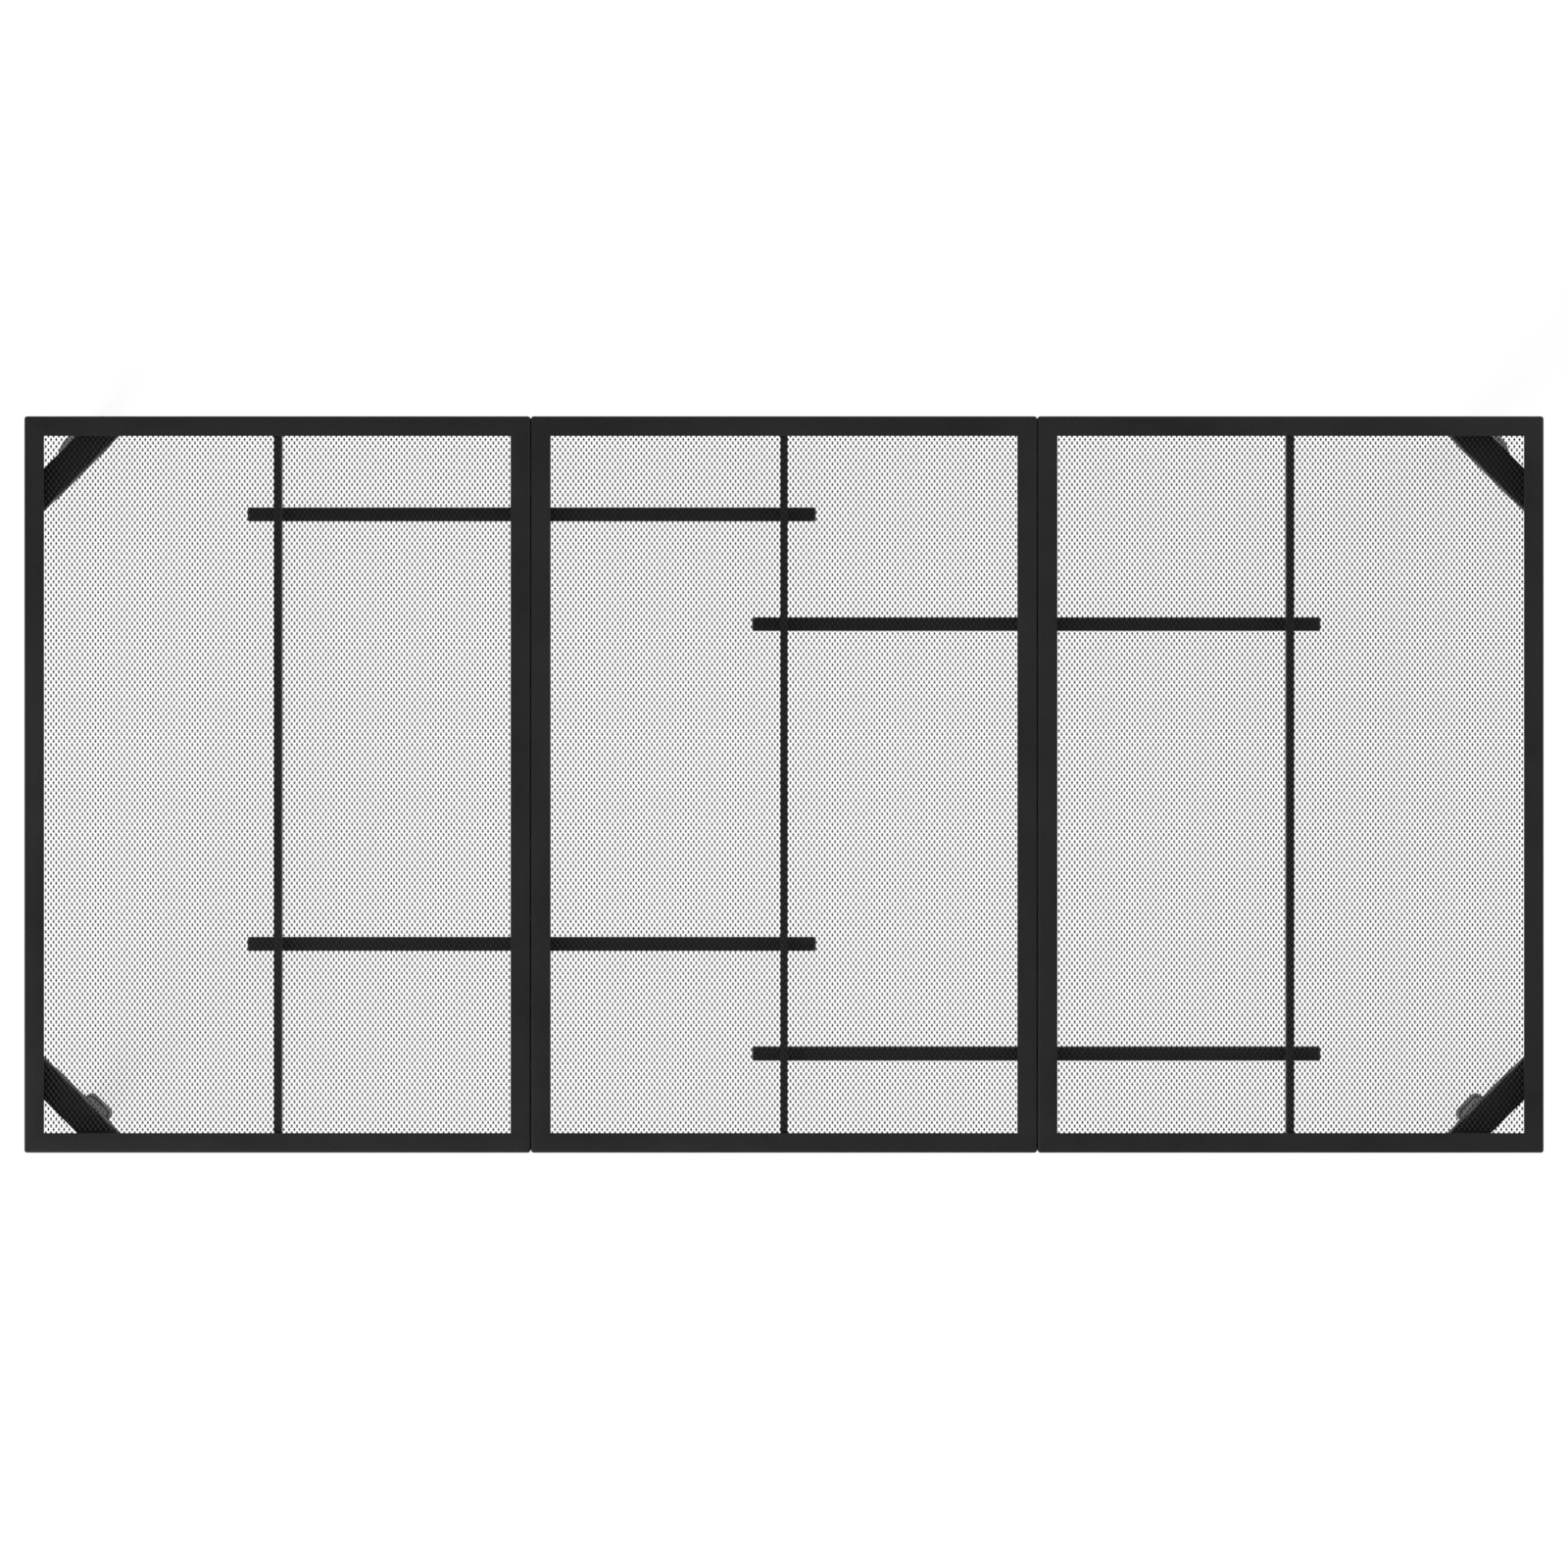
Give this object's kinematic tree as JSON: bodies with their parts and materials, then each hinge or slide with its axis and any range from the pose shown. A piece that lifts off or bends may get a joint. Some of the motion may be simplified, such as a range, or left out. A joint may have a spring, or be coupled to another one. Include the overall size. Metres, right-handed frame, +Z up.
{
  "type": "garden table",
  "caption": "Rectangular garden table: framed expanded-mesh top panels joined by tie bars, on splayed tube legs with plastic feet.",
  "frame": {"origin": "on the floor, under the middle of the top", "axes": "+X along the table, +Y across it, +Z up"},
  "size_m": [1.7536, 0.883, 0.72],
  "materials": {
    "powder_coat": "fine-textured satin black powder coat",
    "mesh_coat": "satin black powder coat",
    "dark_plastic": "matte moulded",
    "zinc_steel": "zinc plated"
  },
  "bodies": {
    "root": {"centre_back_rail": "powder_coat", "centre_front_rail": "powder_coat", "centre_left_stile": "powder_coat", "centre_mesh": "mesh_coat", "centre_mid_rod": "powder_coat", "centre_right_stile": "powder_coat", "corner_brace_back_left": "powder_coat", "corner_brace_back_right": "powder_coat", "corner_brace_front_left": "powder_coat", "corner_brace_front_right": "powder_coat", "foot_cap_back_left": "dark_plastic", "foot_cap_back_right": "dark_plastic", "foot_cap_front_left": "dark_plastic", "foot_cap_front_right": "dark_plastic", "left_back_rail": "powder_coat", "left_front_rail": "powder_coat", "left_inner_stile": "powder_coat", "left_mesh": "mesh_coat", "left_mid_rod": "powder_coat", "left_outer_stile": "powder_coat", "leg_back_left": "powder_coat", "leg_back_right": "powder_coat", "leg_bolt_back_left_1": "zinc_steel", "leg_bolt_back_left_2": "zinc_steel", "leg_bolt_back_right_1": "zinc_steel", "leg_bolt_back_right_2": "zinc_steel", "leg_bolt_front_left_1": "zinc_steel", "leg_bolt_front_left_2": "zinc_steel", "leg_bolt_front_right_1": "zinc_steel", "leg_bolt_front_right_2": "zinc_steel", "leg_front_left": "powder_coat", "leg_front_right": "powder_coat", "right_back_rail": "powder_coat", "right_front_rail": "powder_coat", "right_inner_stile": "powder_coat", "right_mesh": "mesh_coat", "right_mid_rod": "powder_coat", "right_outer_stile": "powder_coat", "tie_bar_left_back": "powder_coat", "tie_bar_left_front": "powder_coat", "tie_bar_right_back": "powder_coat", "tie_bar_right_front": "powder_coat", "tie_bolt_left_back_east": "zinc_steel", "tie_bolt_left_back_west": "zinc_steel", "tie_bolt_left_front_east": "zinc_steel", "tie_bolt_left_front_west": "zinc_steel", "tie_bolt_right_back_east": "zinc_steel", "tie_bolt_right_back_west": "zinc_steel", "tie_bolt_right_front_east": "zinc_steel", "tie_bolt_right_front_west": "zinc_steel", "tie_plug_left_back_east": "dark_plastic", "tie_plug_left_back_west": "dark_plastic", "tie_plug_left_front_east": "dark_plastic", "tie_plug_left_front_west": "dark_plastic", "tie_plug_right_back_east": "dark_plastic", "tie_plug_right_back_west": "dark_plastic", "tie_plug_right_front_east": "dark_plastic", "tie_plug_right_front_west": "dark_plastic"}
  },
  "joints": []
}
